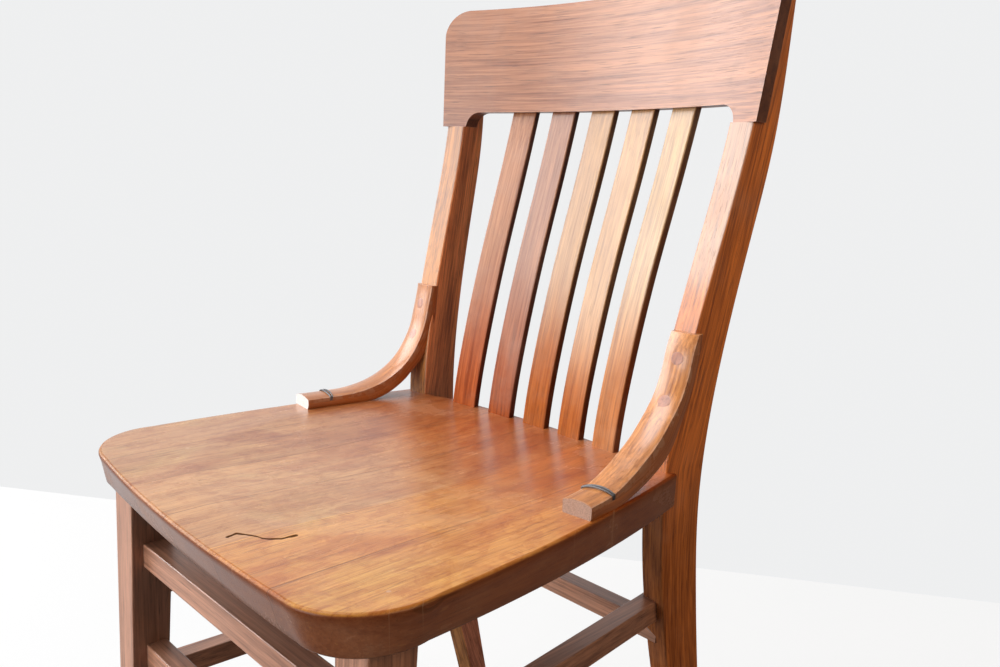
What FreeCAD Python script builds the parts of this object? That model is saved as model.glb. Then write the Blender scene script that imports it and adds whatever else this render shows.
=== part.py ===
"""Student desk chair: an oak schoolhouse side chair, one STEP file for each subcomponent.

Frame, in millimetres: Z is up from the floor, the front of the chair faces -Y, and the plane
X = 0 is the mirror plane of the frame. "Left" is -X and "right" is +X.
"""
import FreeCAD
import Part
import math
import os

V = FreeCAD.Vector

# ---- driving sizes -------------------------------------------------------------------------
seat_height = 445.0          # floor to the rim of the seat
seat_thick = 33.0
seat_front = 390.0           # post face to the middle of the front edge
seat_half_width = 228.0      # widest, a little behind the front corners
seat_rear_half = 193.0       # at the square rear corner beside each post
seat_undercut = 12.0         # how far the underside is set back along the front edge
scoop_depth = 8.5            # the dish reaches back under the slats
scoop_half_x = 178.0
scoop_half_y = 215.0
scoop_centre_y = -140.0
board_width = 76.0           # the seat is glued from six boards

post_face_y = 126.9          # front face of the posts where they pass the seat
post_width = 26.0
post_outer_x = 187.5         # outer face of the right post at the seat
post_lean = math.atan(0.032)  # each post leans out towards the top
post_turn = math.radians(7.0)  # and is turned to face inwards

crest_end_x = 210.0          # half length at the bottom of the ears
crest_thick = 18.0
crest_drop = 319.0           # bottom of the ears, above the seat
crest_low = 336.0            # bottom edge between the ears
crest_top = 455.0
crest_back_tilt = 0.11       # set back for each millimetre of height

slat_count = 5
slat_width = 32.0
slat_thick = 9.0
slat_pitch_low = 51.3
slat_pitch_high = 54.3
back_radius = 565.0          # plan radius shared by the slats and the crest rail

bracket_width = 26.0
bracket_toe_out = math.radians(5.9)
bracket_top = 130.0          # above the seat
bracket_length = 161.0       # post face to the square front end
bracket_nose = 15.6          # height of the arms where the wires cross them

leg_top = (167.5, 205.5, -349.0, -307.0)      # x inner, x outer, y front, y back
leg_bottom = (176.5, 207.0, -355.0, -325.0)
leg_tenon_radius = 12.5

plug_radius = 6.35
screw_radius = 2.25
wire_radius = 0.9


# ---- helpers -------------------------------------------------------------------------------
def at_seat(shape):
    """Move a shape drawn with the post face at y = 0 and the seat rim at z = 0 into place."""
    shape.translate(V(0, post_face_y, seat_height))
    return shape


def mirrored(shape):
    """The left-hand copy of a right-hand shape."""
    return shape.mirror(V(0, 0, 0), V(1, 0, 0))


def smooth_curve(points):
    """A smooth edge through a few points."""
    curve = Part.BSplineCurve()
    curve.interpolate(points)
    return curve.toShape()


def line(start, end):
    return Part.LineSegment(start, end).toShape()


def arc(start, middle, end):
    return Part.Arc(start, middle, end).toShape()


def box(x0, x1, y0, y1, z0, z1):
    return Part.makeBox(x1 - x0, y1 - y0, z1 - z0, V(x0, y0, z0))


def rod(centre, direction, radius, length):
    return Part.makeCylinder(radius, length, centre, direction)


def wood_screw(head, direction, length):
    """A countersunk wood screw: the middle of its head face, where it points, how long."""
    shank = rod(head, direction, screw_radius, length - 5.0)
    cone = Part.makeCone(2.0 * screw_radius, screw_radius, 3.0, head, direction)
    tip_start = head + direction * (length - 5.0)
    tip = Part.makeCone(screw_radius, 0.3, 5.0, tip_start, direction)
    return shank.fuse(cone).fuse(tip).removeSplitter()


def cut_all(shape, tools):
    for tool in tools:
        shape = shape.cut(tool)
    return shape


def group(shapes):
    """Several separate solids kept together in one node."""
    solids = []
    for shape in shapes:
        solids.extend(shape.Solids)
    return Part.makeCompound(solids)


# ---- seat ----------------------------------------------------------------------------------
def seat_outline(shoulder, corner, hip, flank, front, rear, z):
    """Closed plan outline of the seat: bowed front, round corners, sides closing to the rear.

    The points are (x, y) on the right-hand side; the left is its mirror image.
    """
    right = [V(x, y, z) for x, y in (shoulder, corner, hip, flank)]
    left = [V(-x, y, z) for x, y in (shoulder, corner, hip, flank)]
    edges = [
        arc(left[0], V(0, front, z), right[0]),
        arc(right[0], right[1], right[2]),
        arc(right[2], right[3], V(rear, 8, z)),
        line(V(rear, 8, z), V(155, 8, z)),
        arc(V(155, 8, z), V(0, 33, z), V(-155, 8, z)),
        line(V(-155, 8, z), V(-rear, 8, z)),
        arc(V(-rear, 8, z), left[3], left[2]),
        arc(left[2], left[1], left[0]),
    ]
    return Part.Wire(edges)


def seat_blank():
    """The whole seat before it is divided into its boards."""
    half = seat_half_width
    front = -seat_front
    top = seat_outline((165, front + 8), (212, front + 30), (half, -305), (half - 9.5, -160),
                       front, seat_rear_half, 0.0)
    front += seat_undercut
    half -= 5.0
    bottom = seat_outline((170, front + 5), (206, front + 18), (half, -312), (half - 6, -160),
                          front, seat_rear_half - 0.5, -seat_thick)
    blank = Part.makeLoft([bottom, top], True, True)
    rim = []
    for edge in blank.Edges:
        box_of_edge = edge.BoundBox
        if box_of_edge.ZMin > -0.01 and box_of_edge.YMin < 7.9:
            rim.append(edge)
    blank = blank.makeFillet(4.0, rim)
    # One shallow dish, elliptical in plan: a large sphere stretched along Y.
    radius = (scoop_half_x ** 2 + scoop_depth ** 2) / (2.0 * scoop_depth)
    ball = Part.makeSphere(radius, V(0, 0, 0), V(0, 1, 0))
    stretch = FreeCAD.Matrix()
    stretch.A22 = scoop_half_y / scoop_half_x
    ball = ball.transformGeometry(stretch)
    ball.translate(V(0, scoop_centre_y, radius - scoop_depth))
    return blank.cut(ball)


def seat_boards(blank):
    """Six glued boards with their joints running from front to back."""
    boards = []
    for index in range(6):
        start = (index - 3) * board_width
        end = start + board_width
        if index == 0:
            start = -260.0
        if index == 5:
            end = 260.0
        slab = box(start, end, -420, 60, -60, 30)
        boards.append(blank.common(slab))
    return boards


# ---- back frame ----------------------------------------------------------------------------
def right_post(outside, width, rounding):
    """Rear leg and back upright in one piece, swept back above and below the seat.

    outside moves the outer face outwards; a wide, sharp-edged copy is used to trim the bracket.
    """
    front = [(107, -455), (60, -300), (14, -134), (0, -30), (0, 20), (21.5, 140), (43, 220),
             (63, 300), (76, 400), (78, 462)]
    back = [(108, 462), (107, 400), (101, 300), (85, 220), (68, 140), (52, 20), (51.5, -30),
            (64, -134), (97, -300), (133.5, -455)]
    front_edge = smooth_curve([V(0, depth, z) for depth, z in front])
    back_edge = smooth_curve([V(0, depth, z) for depth, z in back])
    top_edge = line(V(0, 78, 462), V(0, 108, 462))
    foot_edge = line(V(0, 133.5, -455), V(0, 107, -455))
    side = Part.Face(Part.Wire([front_edge, top_edge, back_edge, foot_edge]))
    side.translate(V(outside, 0, 0))
    post = side.extrude(V(-width, 0, 0))
    long_edges = []
    for edge in post.Edges:
        if edge.BoundBox.ZLength > 600:
            long_edges.append(edge)
    if rounding > 0:
        post = post.makeFillet(rounding, long_edges)
    post.rotate(V(0, 0, 0), V(0, 1, 0), math.degrees(post_lean))
    post.rotate(V(0, 0, 0), V(0, 0, 1), -math.degrees(post_turn))
    post.translate(V(post_outer_x, 0, 0))
    floor_cut = box(0, 400, -100, 300, -500, -445)
    return post.cut(floor_cut)


def crest_elevation(grow, low):
    """Front view of the crest rail; grow adds length, low is the bottom of the ears."""
    end_low = V(crest_end_x + grow, 0, low)
    end_high = V(crest_end_x + grow + 9.0, 0, crest_top - 30)
    corner = V(crest_end_x + grow + 1.0, 0, crest_top - 9)
    top = V(crest_end_x + grow - 20.0, 0, crest_top)
    ear_inner = V(181, 0, low)
    ear_start = V(180.5, 0, crest_drop + 2)
    ear_curve = V(175, 0, crest_low - 4)
    ear_end = V(163, 0, crest_low)

    def flip(point):
        return V(-point.x, 0, point.z)

    edges = [
        line(flip(top), V(0, 0, crest_top)),
        line(V(0, 0, crest_top), top),
        arc(top, corner, end_high),
        line(end_high, end_low),
        line(end_low, ear_inner),
        line(ear_inner, ear_start),
        arc(ear_start, ear_curve, ear_end),
        line(ear_end, flip(ear_end)),
        arc(flip(ear_end), flip(ear_curve), flip(ear_start)),
        line(flip(ear_start), flip(ear_inner)),
        line(flip(ear_inner), flip(end_low)),
        line(flip(end_low), flip(end_high)),
        arc(flip(end_high), flip(corner), flip(top)),
    ]
    face = Part.Face(Part.Wire(edges))
    face.translate(V(0, -60, 0))
    return face.extrude(V(0, 300, 0))


def crest_band(front_offset, thick):
    """A curved, tilted board long enough for the crest rail, drawn from its plan arcs."""
    base = 61.0 + front_offset
    reach = 240.0
    bow = back_radius - math.sqrt(back_radius ** 2 - reach ** 2)
    bow_at_end = back_radius - math.sqrt(back_radius ** 2 - crest_end_x ** 2)
    middle = base + bow_at_end
    z0 = crest_drop - 20.0
    y_shift = -20.0 * crest_back_tilt
    front_left = V(-reach, middle - bow + y_shift, z0)
    front_mid = V(0, middle + y_shift, z0)
    front_right = V(reach, middle - bow + y_shift, z0)
    back_left = front_left + V(0, thick, 0)
    back_mid = front_mid + V(0, thick, 0)
    back_right = front_right + V(0, thick, 0)
    edges = [
        arc(front_left, front_mid, front_right),
        line(front_right, back_right),
        arc(back_right, back_mid, back_left),
        line(back_left, front_left),
    ]
    plan = Part.Face(Part.Wire(edges))
    height = crest_top + 20.0 - z0
    return plan.extrude(V(0, crest_back_tilt * height, height))


def crest_rail():
    """Curved top rail with an ear at each end."""
    rail = crest_band(0.0, crest_thick).common(crest_elevation(0.0, crest_drop))
    return rail


def slat_line(x):
    """How far a slat standing at x is set forward of the middle one."""
    return back_radius - math.sqrt(back_radius ** 2 - x * x)


def slat(index):
    """One bent slat, its ends left long to sit in the seat and in the crest rail."""
    step = index - (slat_count - 1) / 2.0
    x_low = step * slat_pitch_low
    x_high = step * slat_pitch_high
    front = [(19.0, -14), (20.3, 0), (37, 90), (61, 180), (89, 270), (108, 336), (112.5, 352)]
    front_points = [V(0, depth, z) for depth, z in front]
    back_points = [V(0, depth + slat_thick, z) for depth, z in reversed(front)]
    edges = [
        smooth_curve(front_points),
        line(front_points[-1], back_points[0]),
        smooth_curve(back_points),
        line(back_points[-1], front_points[0]),
    ]
    side = Part.Face(Part.Wire(edges))
    side.translate(V(-slat_width / 2.0, 0, 0))
    blade = side.extrude(V(slat_width, 0, 0))
    long_edges = []
    for edge in blade.Edges:
        if edge.BoundBox.ZLength > 300:
            long_edges.append(edge)
    blade = blade.makeFillet(1.5, long_edges)
    swing = 88.0 * x_low / back_radius
    lean = math.degrees(math.atan((x_high - x_low - swing) / 345.0))
    turn = math.degrees(math.asin(x_low / back_radius))
    blade.translate(V(0, -20.3, 0))
    blade.rotate(V(0, 0, 0), V(0, 1, 0), lean)
    blade.rotate(V(0, 0, 0), V(0, 0, 1), -turn)
    blade.translate(V(x_low, 20.3 - slat_line(x_low), 0))
    return blade


# ---- hip brackets --------------------------------------------------------------------------
def bracket_frame(shape):
    """Place a bracket drawn with x across, -y forward from the post and z up from the seat."""
    shape.rotate(V(0, 0, 0), V(0, 0, 1), math.degrees(bracket_toe_out))
    shape.translate(V(197.5, 17.5, 0))
    return shape


def bracket_arm(upper, lower):
    """Curved arm from the front of the post down to the seat, with a square front end.

    upper and lower are (ahead, height) points of the top face and of the underside, drawn for
    the right-hand side.
    """
    upper_points = [V(0, -ahead, z) for ahead, z in upper]
    lower_points = [V(0, -ahead, z) for ahead, z in lower]
    nose = V(0, -bracket_length, upper[-1][1])
    toe = V(0, -bracket_length, 0)
    behind_low = V(0, 25, lower[-1][1])
    behind_high = V(0, 25, bracket_top)
    edges = [
        smooth_curve(upper_points),
        line(upper_points[-1], nose),
        line(nose, toe),
        line(toe, lower_points[0]),
        smooth_curve(lower_points),
        line(lower_points[-1], behind_low),
        line(behind_low, behind_high),
        line(behind_high, upper_points[0]),
    ]
    side = Part.Face(Part.Wire(edges))
    arm = side.extrude(V(-bracket_width, 0, 0))
    crown = []
    for edge in arm.Edges:
        size = edge.BoundBox
        if size.YLength > 140 and size.ZLength > 100:
            crown.append(edge)
    arm = arm.makeFillet(3.0, crown)
    return bracket_frame(arm)


def right_bracket():
    """The right arm, bent to a wide curve."""
    upper = [(5, 130), (12, 115.5), (18, 96), (29, 75.5), (47.5, 57), (68, 41.5), (91, 29.5),
             (107.5, 22.5), (132, 15.5), (155, 13.6)]
    lower = [(120, 0), (98, 3.5), (72, 11), (51, 20), (34.7, 32), (22.7, 49.7), (12.2, 66.3),
             (2.4, 88)]
    return bracket_arm(upper, lower)


def left_bracket():
    """The left arm, bent to a tighter curve than the right one."""
    upper = [(3.6, 130), (5, 120), (9.5, 98), (14, 79), (22.5, 61), (31.5, 47.5), (44, 35.5),
             (61, 25), (81, 17.8), (105, 13.6), (130, 13), (155, 13)]
    lower = [(84, 0), (68, 2.5), (52, 9), (35.5, 20), (24.5, 31), (14, 42)]
    return mirrored(bracket_arm(upper, lower))


def bracket_normal(slope):
    """Direction straight into a bracket whose front face leans by slope degrees."""
    angle = math.radians(slope)
    inward = V(0, math.cos(angle), -math.sin(angle))
    turn = FreeCAD.Rotation(V(0, 0, 1), math.degrees(bracket_toe_out))
    return turn.multVec(inward)


def bracket_point(ahead, z):
    """A point on the middle line of the right bracket."""
    turn = FreeCAD.Rotation(V(0, 0, 1), math.degrees(bracket_toe_out))
    return turn.multVec(V(-bracket_width / 2.0, -ahead, 0)) + V(197.5, 17.5, z)


def bracket_hardware(spots):
    """Plugs, the screws under them, and the screws up through the seat, for the right side.

    spots holds (ahead, height, slope of the face in degrees) for each plug.
    """
    plugs = []
    screws = []
    for ahead, z, slope in spots:
        into = bracket_normal(slope)
        face = bracket_point(ahead, z)
        plugs.append(rod(face - into * 0.4, into, plug_radius, 5.4))
        screws.append(wood_screw(face + into * 5.0, into, 34.0))
    foot_screws = []
    for ahead in (126.0, 149.0):
        head = bracket_point(ahead, -seat_thick + 4.0)
        foot_screws.append(wood_screw(head, V(0, 0, 1), 36.0))
    return plugs, screws, foot_screws


def wire_loop():
    """Two strands of wire bent over the right bracket near its front end."""
    strands = []
    for ahead in (129.5, 132.5):
        gap = wire_radius + 0.05
        inner = -bracket_width - gap
        outer = gap
        top = bracket_nose + gap
        points = [V(inner, -ahead, 6.0), V(inner, -ahead, top - 4), V(inner + 4, -ahead, top),
                  V(outer - 4, -ahead, top), V(outer, -ahead, top - 4), V(outer, -ahead, 6.0)]
        round_in = V(inner + 1.1, -ahead, top - 1.1)
        round_out = V(outer - 1.1, -ahead, top - 1.1)
        path = Part.Wire([
            line(points[0], points[1]),
            arc(points[1], round_in, points[2]),
            line(points[2], points[3]),
            arc(points[3], round_out, points[4]),
            line(points[4], points[5]),
        ])
        section = Part.Wire([Part.makeCircle(wire_radius, points[0], V(0, 0, 1))])
        strand = path.makePipeShell([section], True, False)
        strands.append(bracket_frame(strand))
    return strands


# ---- legs and stretchers -------------------------------------------------------------------
def leg_section(sizes, z):
    x0, x1, y0, y1 = sizes
    corners = [V(x0, y0, z), V(x1, y0, z), V(x1, y1, z), V(x0, y1, z), V(x0, y0, z)]
    return Part.makePolygon(corners)


def right_leg():
    """Tapered front leg with a round tenon that goes up into the seat."""
    low = leg_section(leg_bottom, -445.0)
    high = leg_section(leg_top, -seat_thick)
    leg = Part.makeLoft([low, high], True, True)
    long_edges = []
    for edge in leg.Edges:
        if edge.BoundBox.ZLength > 300:
            long_edges.append(edge)
    leg = leg.makeFillet(1.5, long_edges)
    tenon = rod(V(186.5, -328, -seat_thick - 1), V(0, 0, 1), leg_tenon_radius, 21.0)
    return leg.fuse(tenon).removeSplitter()


def cross_stretcher(y0, y1, z0, z1, reach, uprights):
    """A stretcher along X between two uprights, with a tenon at each end."""
    body = box(-reach, reach, y0, y1, z0, z1)
    body = body.makeFillet(1.2, [edge for edge in body.Edges if edge.BoundBox.XLength > 100])
    body = cut_all(body, uprights)
    body = max(body.Solids, key=lambda solid: solid.Volume)
    tenon = box(-reach, reach, y0 + 5, y1 - 5, z0 + 4, z1 - 4)
    return body.fuse(tenon).removeSplitter()


def side_stretcher(front, rear, z0, z1, uprights):
    """A stretcher from a front leg back to a rear post; front and rear are (x, y) points."""
    start = V(front[0], front[1], 0)
    end = V(rear[0], rear[1], 0)
    run = end - start
    length = run.Length
    angle = math.degrees(math.atan2(-run.x, run.y))

    def bar(across, low, high):
        shape = box(-across, across, 0, length, low, high)
        if across > 8:
            edges = [edge for edge in shape.Edges if edge.BoundBox.YLength > 100]
            shape = shape.makeFillet(1.2, edges)
        shape.rotate(V(0, 0, 0), V(0, 0, 1), angle)
        shape.translate(start)
        return shape

    body = cut_all(bar(10.0, z0, z1), uprights)
    body = max(body.Solids, key=lambda solid: solid.Volume)
    tenon = bar(5.0, z0 + 4, z1 - 4)
    return body.fuse(tenon).removeSplitter()


# ---- fastenings out of sight ---------------------------------------------------------------
def crest_screws(turn):
    """Two screws from the back of the right post into the crest rail, one above the other."""
    screws = []
    for x, z in ((196.5, 350.0), (200.5, 410.0)):
        back = 61.0 + crest_back_tilt * (z - crest_drop) + crest_thick
        head = V(x, back + 13.0, z)
        screws.append(wood_screw(head, turn, 24.0))
    return screws


def post_lag(turn):
    """A long screw through the right post into the edge of the seat."""
    head = V(181.5, 43.0, -16.0)
    return wood_screw(head, turn, 88.0)


# ---- assembly ------------------------------------------------------------------------------
def build():
    nodes = {}
    straight_in = V(0, -1, 0)
    post = right_post(0.0, post_width, 1.5)
    trim = right_post(30.0, post_width + 60.0, 0.0)
    crest = crest_rail()
    leg = right_leg()
    slats = [slat(index) for index in range(slat_count)]
    bracket = right_bracket()
    other_bracket = left_bracket()
    plugs, screws, foot_screws = bracket_hardware(((14.4, 108.0, 17.0), (32.0, 71.8, 39.0)))
    left_set = bracket_hardware(((7.2, 108.0, 12.0), (17.4, 71.3, 26.0)))
    other_plugs = [mirrored(plug) for plug in left_set[0]]
    other_screws = [mirrored(screw) for screw in left_set[1]]
    other_foot_screws = [mirrored(screw) for screw in foot_screws]
    rail_screws = crest_screws(straight_in)
    lag = post_lag(V(-math.sin(post_turn), -math.cos(post_turn), 0))

    # The crest rail is let into the front of the posts, which end under its rounded corners.
    notch = crest_band(-80.0, 80.0 + crest_thick)
    notch = notch.common(box(-300, 300, -200, 300, crest_drop, crest_top + 20))
    post = post.cut(notch)
    head_shape = crest_elevation(-3.0, -600.0)
    filler = box(-188, 188, -60, 240, -600, crest_low + 30)
    post = post.common(head_shape.fuse(filler))
    post = max(post.Solids, key=lambda solid: solid.Volume)
    bracket = bracket.cut(trim)
    bracket = max(bracket.Solids, key=lambda solid: solid.Volume)
    other_bracket = other_bracket.cut(mirrored(trim))
    other_bracket = max(other_bracket.Solids, key=lambda solid: solid.Volume)

    uprights = [post, mirrored(post), leg, mirrored(leg)]
    front_upper = cross_stretcher(-339, -317, -121, -97, 185, uprights)
    front_lower = cross_stretcher(-338, -318, -228, -204, 187, uprights)
    rear_rail = cross_stretcher(27, 47, -188, -167, 172, uprights)
    side_upper = side_stretcher((189, -325), (165, 35), -160, -138, [post, leg])
    side_lower = side_stretcher((190.5, -333), (161, 62), -257, -235, [post, leg])

    # Mortises, sockets and screw holes.
    leg = cut_all(leg, [front_upper, front_lower, side_upper, side_lower])
    post = cut_all(post, [rear_rail, side_upper, side_lower])
    post = cut_all(post, rail_screws + [lag])
    for screw in rail_screws:
        way_in = V(screw.BoundBox.Center.x, screw.BoundBox.YMax, screw.BoundBox.Center.z)
        post = post.cut(rod(way_in, V(0, 1, 0), 2.0 * screw_radius, 60.0))
    lag_way = V(math.sin(post_turn), math.cos(post_turn), 0)
    post = post.cut(rod(V(181.5, 43.0, -16.0), lag_way, 2.0 * screw_radius, 40.0))
    other_post = cut_all(mirrored(post), other_screws)
    post = cut_all(post, screws)
    bracket = cut_all(bracket, plugs + screws + foot_screws)
    other_bracket = cut_all(other_bracket, other_plugs + other_screws + other_foot_screws)
    crest = cut_all(crest, slats + rail_screws + [mirrored(screw) for screw in rail_screws])

    blank = seat_blank()
    blank = cut_all(blank, slats + [leg, mirrored(leg), post, mirrored(post)])
    for screw in foot_screws + [lag]:
        blank = cut_all(blank, [screw, mirrored(screw)])
    for screw in foot_screws:
        centre = screw.BoundBox.Center
        sink = rod(V(centre.x, centre.y, -seat_thick - 2), V(0, 0, 1), 2.0 * screw_radius, 6.0)
        blank = cut_all(blank, [sink, mirrored(sink)])

    for number, board in enumerate(seat_boards(blank), 1):
        nodes["seat_board_%d" % number] = [board]
    nodes["post_right"] = [post]
    nodes["post_left"] = [other_post]
    nodes["crest_rail"] = [crest]
    for number, blade in enumerate(slats, 1):
        nodes["slat_%d" % number] = [blade]
    nodes["hip_bracket_right"] = [bracket]
    nodes["hip_bracket_left"] = [other_bracket]
    nodes["bracket_plugs_right"] = plugs
    nodes["bracket_plugs_left"] = other_plugs
    loops = wire_loop()
    nodes["wire_loop_right"] = loops
    nodes["wire_loop_left"] = [mirrored(strand) for strand in loops]
    nodes["front_leg_right"] = [leg]
    nodes["front_leg_left"] = [mirrored(leg)]
    nodes["front_stretcher_upper"] = [front_upper]
    nodes["front_stretcher_lower"] = [front_lower]
    nodes["side_stretcher_upper_right"] = [side_upper]
    nodes["side_stretcher_upper_left"] = [mirrored(side_upper)]
    nodes["side_stretcher_lower_right"] = [side_lower]
    nodes["side_stretcher_lower_left"] = [mirrored(side_lower)]
    nodes["rear_stretcher"] = [rear_rail]
    nodes["bracket_screws"] = screws + other_screws
    nodes["bracket_foot_screws"] = foot_screws + other_foot_screws
    nodes["crest_screws"] = rail_screws + [mirrored(screw) for screw in rail_screws]
    nodes["post_screws"] = [lag, mirrored(lag)]
    return nodes


os.makedirs("parts", exist_ok=True)
for name, shapes in build().items():
    part = at_seat(group(shapes))
    if len(part.Solids) == 1:
        part = part.Solids[0]
    size = part.BoundBox
    print("%-28s solids %d  volume %9.0f  valid %s  x %.1f..%.1f  y %.1f..%.1f  z %.1f..%.1f" % (
        name, len(part.Solids), part.Volume, part.isValid(), size.XMin, size.XMax,
        size.YMin, size.YMax, size.ZMin, size.ZMax))
    part.exportStep("parts/%s.step" % name)
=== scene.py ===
"""Looks of the student desk chair: worn, varnished oak on the frame made in part.py.

Lengths in the tables below are millimetres measured from the seat rim and the post face,
as in part.py; place() turns them into metres in the shared frame.
"""
import bpy
import math
from mathutils import Matrix, Vector, noise


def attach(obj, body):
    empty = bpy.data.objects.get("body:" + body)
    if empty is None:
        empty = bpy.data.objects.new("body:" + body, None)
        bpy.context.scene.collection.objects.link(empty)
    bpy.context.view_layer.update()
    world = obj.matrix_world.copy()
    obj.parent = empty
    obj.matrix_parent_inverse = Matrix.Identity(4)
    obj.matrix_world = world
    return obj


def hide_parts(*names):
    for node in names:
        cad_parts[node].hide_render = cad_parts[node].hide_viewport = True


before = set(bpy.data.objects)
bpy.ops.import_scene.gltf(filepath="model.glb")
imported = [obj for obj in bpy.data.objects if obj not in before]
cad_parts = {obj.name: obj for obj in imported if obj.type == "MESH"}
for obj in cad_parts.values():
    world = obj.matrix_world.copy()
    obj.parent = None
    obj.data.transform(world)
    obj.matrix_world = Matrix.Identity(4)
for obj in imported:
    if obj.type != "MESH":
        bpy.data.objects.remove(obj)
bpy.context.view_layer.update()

MM = 0.001

# ---- sizes shared with part.py, in millimetres ---------------------------------------------
SEAT_HEIGHT = 445.0
POST_FACE = 126.9
SEAT_THICK = 33.0
SEAT_REAR_HALF = 193.0
REAR_CORNER = (155.0, 8.0)   # of the rear edge of the seat, between the posts
REAR_BULGE = 33.0
SCOOP_DEPTH = 8.5
SCOOP_HALF_X = 178.0
SCOOP_HALF_Y = 215.0
SCOOP_CENTRE_Y = -140.0
BOARD_WIDTH = 76.0
# Each arm is bent a little differently: 1 is the right one and -1 the left one. The points
# are (ahead of the post, height above the seat).
ARM_TOP_POINTS = {
    1: ((161, 13.6), (132, 15.5), (107.5, 22.5), (91, 29.5), (68, 41.5), (47.5, 57),
        (29, 75.5), (18, 96), (12, 115.5), (5, 130)),
    -1: ((161, 13), (130, 13), (105, 13.6), (81, 17.8), (61, 25), (44, 35.5), (31.5, 47.5),
         (22.5, 61), (14, 79), (9.5, 98), (5, 120), (3.6, 130)),
}
ARM_UNDER_POINTS = {
    1: ((161, 0), (140, 0), (120, 0), (98, 3.5), (72, 11), (51, 20), (34.7, 32),
        (22.7, 49.7), (12.2, 66.3), (2.4, 88), (-4, 110), (-6, 130)),
    -1: ((161, 0), (120, 0), (84, 0), (68, 2.5), (52, 9), (35.5, 20), (24.5, 31), (14, 42),
         (6, 55), (-2, 72), (-6, 98), (-8, 130)),
}

# ---- what the CAD leaves plain, in millimetres ---------------------------------------------
SEAT_SKEW = 8.0              # the right front corner is this far ahead, the left one behind
SEAT_ROUND_TOP = 3.2
SEAT_ROUND_LOW = 2.0
SEAT_MIDDLE = (0.0, -175.0)
ARM_WIDTH = {1: 28.0, -1: 31.0}
ARM_BASE = {1: 199.5, -1: 197.0}
ARM_TOE_OUT = {1: math.radians(5.2), -1: math.radians(7.0)}
ARM_START = 17.5             # behind the post face: the arms' distances ahead start here
ARM_CROWN = 2.6
PLUG_RADIUS = 6.2
PLUG_HEIGHTS = (71.6, 108.0)
WIRE_AHEAD = 131.0
WIRE_RADIUS = 0.82
CRACK = ((64, -371), (63, -363), (69, -358.5), (75, -355), (82, -352.5), (86, -349.5),
         (91, -343), (92.5, -332))
CHIPS = ((-140, -306, 2.6), (-119, -325, 2.2), (203, -332, 2.4), (120, -60, 1.8))

# How the pieces lean and bend, so that their grain follows them. In metres from the seat rim:
# slope and curve of y going up, curve of y going down, curve of y with x, and slope of x.
STRAIGHT = (0.0, 0.0, 0.0, 0.0, 0.0)
POST_BEND = (0.19, 0.0, 0.55, 0.0, 0.032)
CREST_BEND = (0.11, 0.0, 0.0, -0.885, 0.0)
SLAT_BEND = (0.17, 0.28, 0.0, 0.0, 0.0)
SLAT_FAN = 0.0087

# ---- tones ---------------------------------------------------------------------------------
FORWARD = (0.0, -1.0, 0.0)
RIGHTWARD = (1.0, 0.0, 0.0)
# Pale that the front of the right post is veiled with: painted glare on the varnish, and wear.
GLARE_AND_WEAR_PALE = (0.54, 0.43, 0.37)
# Noise of the wood, drawn out along the grain. Each layer has its scale along the grain and
# across it, then detail, roughness and distortion.
GRAIN_LAYERS = {
    "cloud": (2.2, 9.0, 3.0, 0.5, 0.6),
    "figure": (3.0, 55.0, 4.0, 0.6, 1.2),
    "streak": (4.5, 170.0, 3.0, 0.6, 0.6),
    "fibre": (9.0, 420.0, 3.0, 0.6, 0.0),
    "pore": (30.0, 1300.0, 2.0, 0.5, 0.0),
    "fleck": (55.0, 330.0, 2.0, 0.5, 0.0),
}
# How much the figure, the streaks and the fibres count in the seat and in all other pieces.
SEAT_WEIGHTS = (0.7, 0.45, 1.3)
FRAME_WEIGHTS = (0.9, 1.1, 2.0)
SEAT_TONES = ((0.60, 0.275, 0.088), (0.30, 0.098, 0.026))
CREST_TONES = ((0.42, 0.172, 0.080), (0.19, 0.058, 0.024))
# Tones of each slat. Apart from the wood, their difference, palest on slat 5, is painted light that
# grows towards the right.
SLAT_TONES_AND_LIGHT = (
    ((0.46, 0.200, 0.090), (0.22, 0.070, 0.026)),
    ((0.37, 0.160, 0.080), (0.17, 0.055, 0.025)),
    ((0.43, 0.222, 0.080), (0.22, 0.090, 0.028)),
    ((0.45, 0.236, 0.088), (0.22, 0.092, 0.030)),
    ((0.49, 0.290, 0.120), (0.21, 0.096, 0.036)),
)
POST_TONES = ((0.66, 0.200, 0.036), (0.22, 0.055, 0.010))
LEG_TONES = ((0.44, 0.20, 0.115), (0.15, 0.056, 0.028))
PLUG_TONES = ((0.40, 0.145, 0.075), (0.22, 0.075, 0.038))
ARM_LIGHT = {1: (0.60, 0.245, 0.072), -1: (0.50, 0.185, 0.048)}
ARM_DARK = (0.23, 0.068, 0.016)
# Bare sawn end of each arm; the near-white of the left one is also a painted reflection.
ARM_END_TONE_AND_GLARE = {1: (0.42, 0.26, 0.19), -1: (0.85, 0.80, 0.76)}

# ---- light ---------------------------------------------------------------------------------
KEY_POWER = 92.0
FRONT_POWER = 56.0
TOP_POWER = 42.0
WARM_POWER = 24.0
FILL_DARK = 0.06
FILL_BRIGHT = 0.85


def place(x, y, z):
    """Millimetres from the seat rim and post face to metres in the shared frame."""
    return Vector((x, y + POST_FACE, z + SEAT_HEIGHT)) * MM


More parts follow.
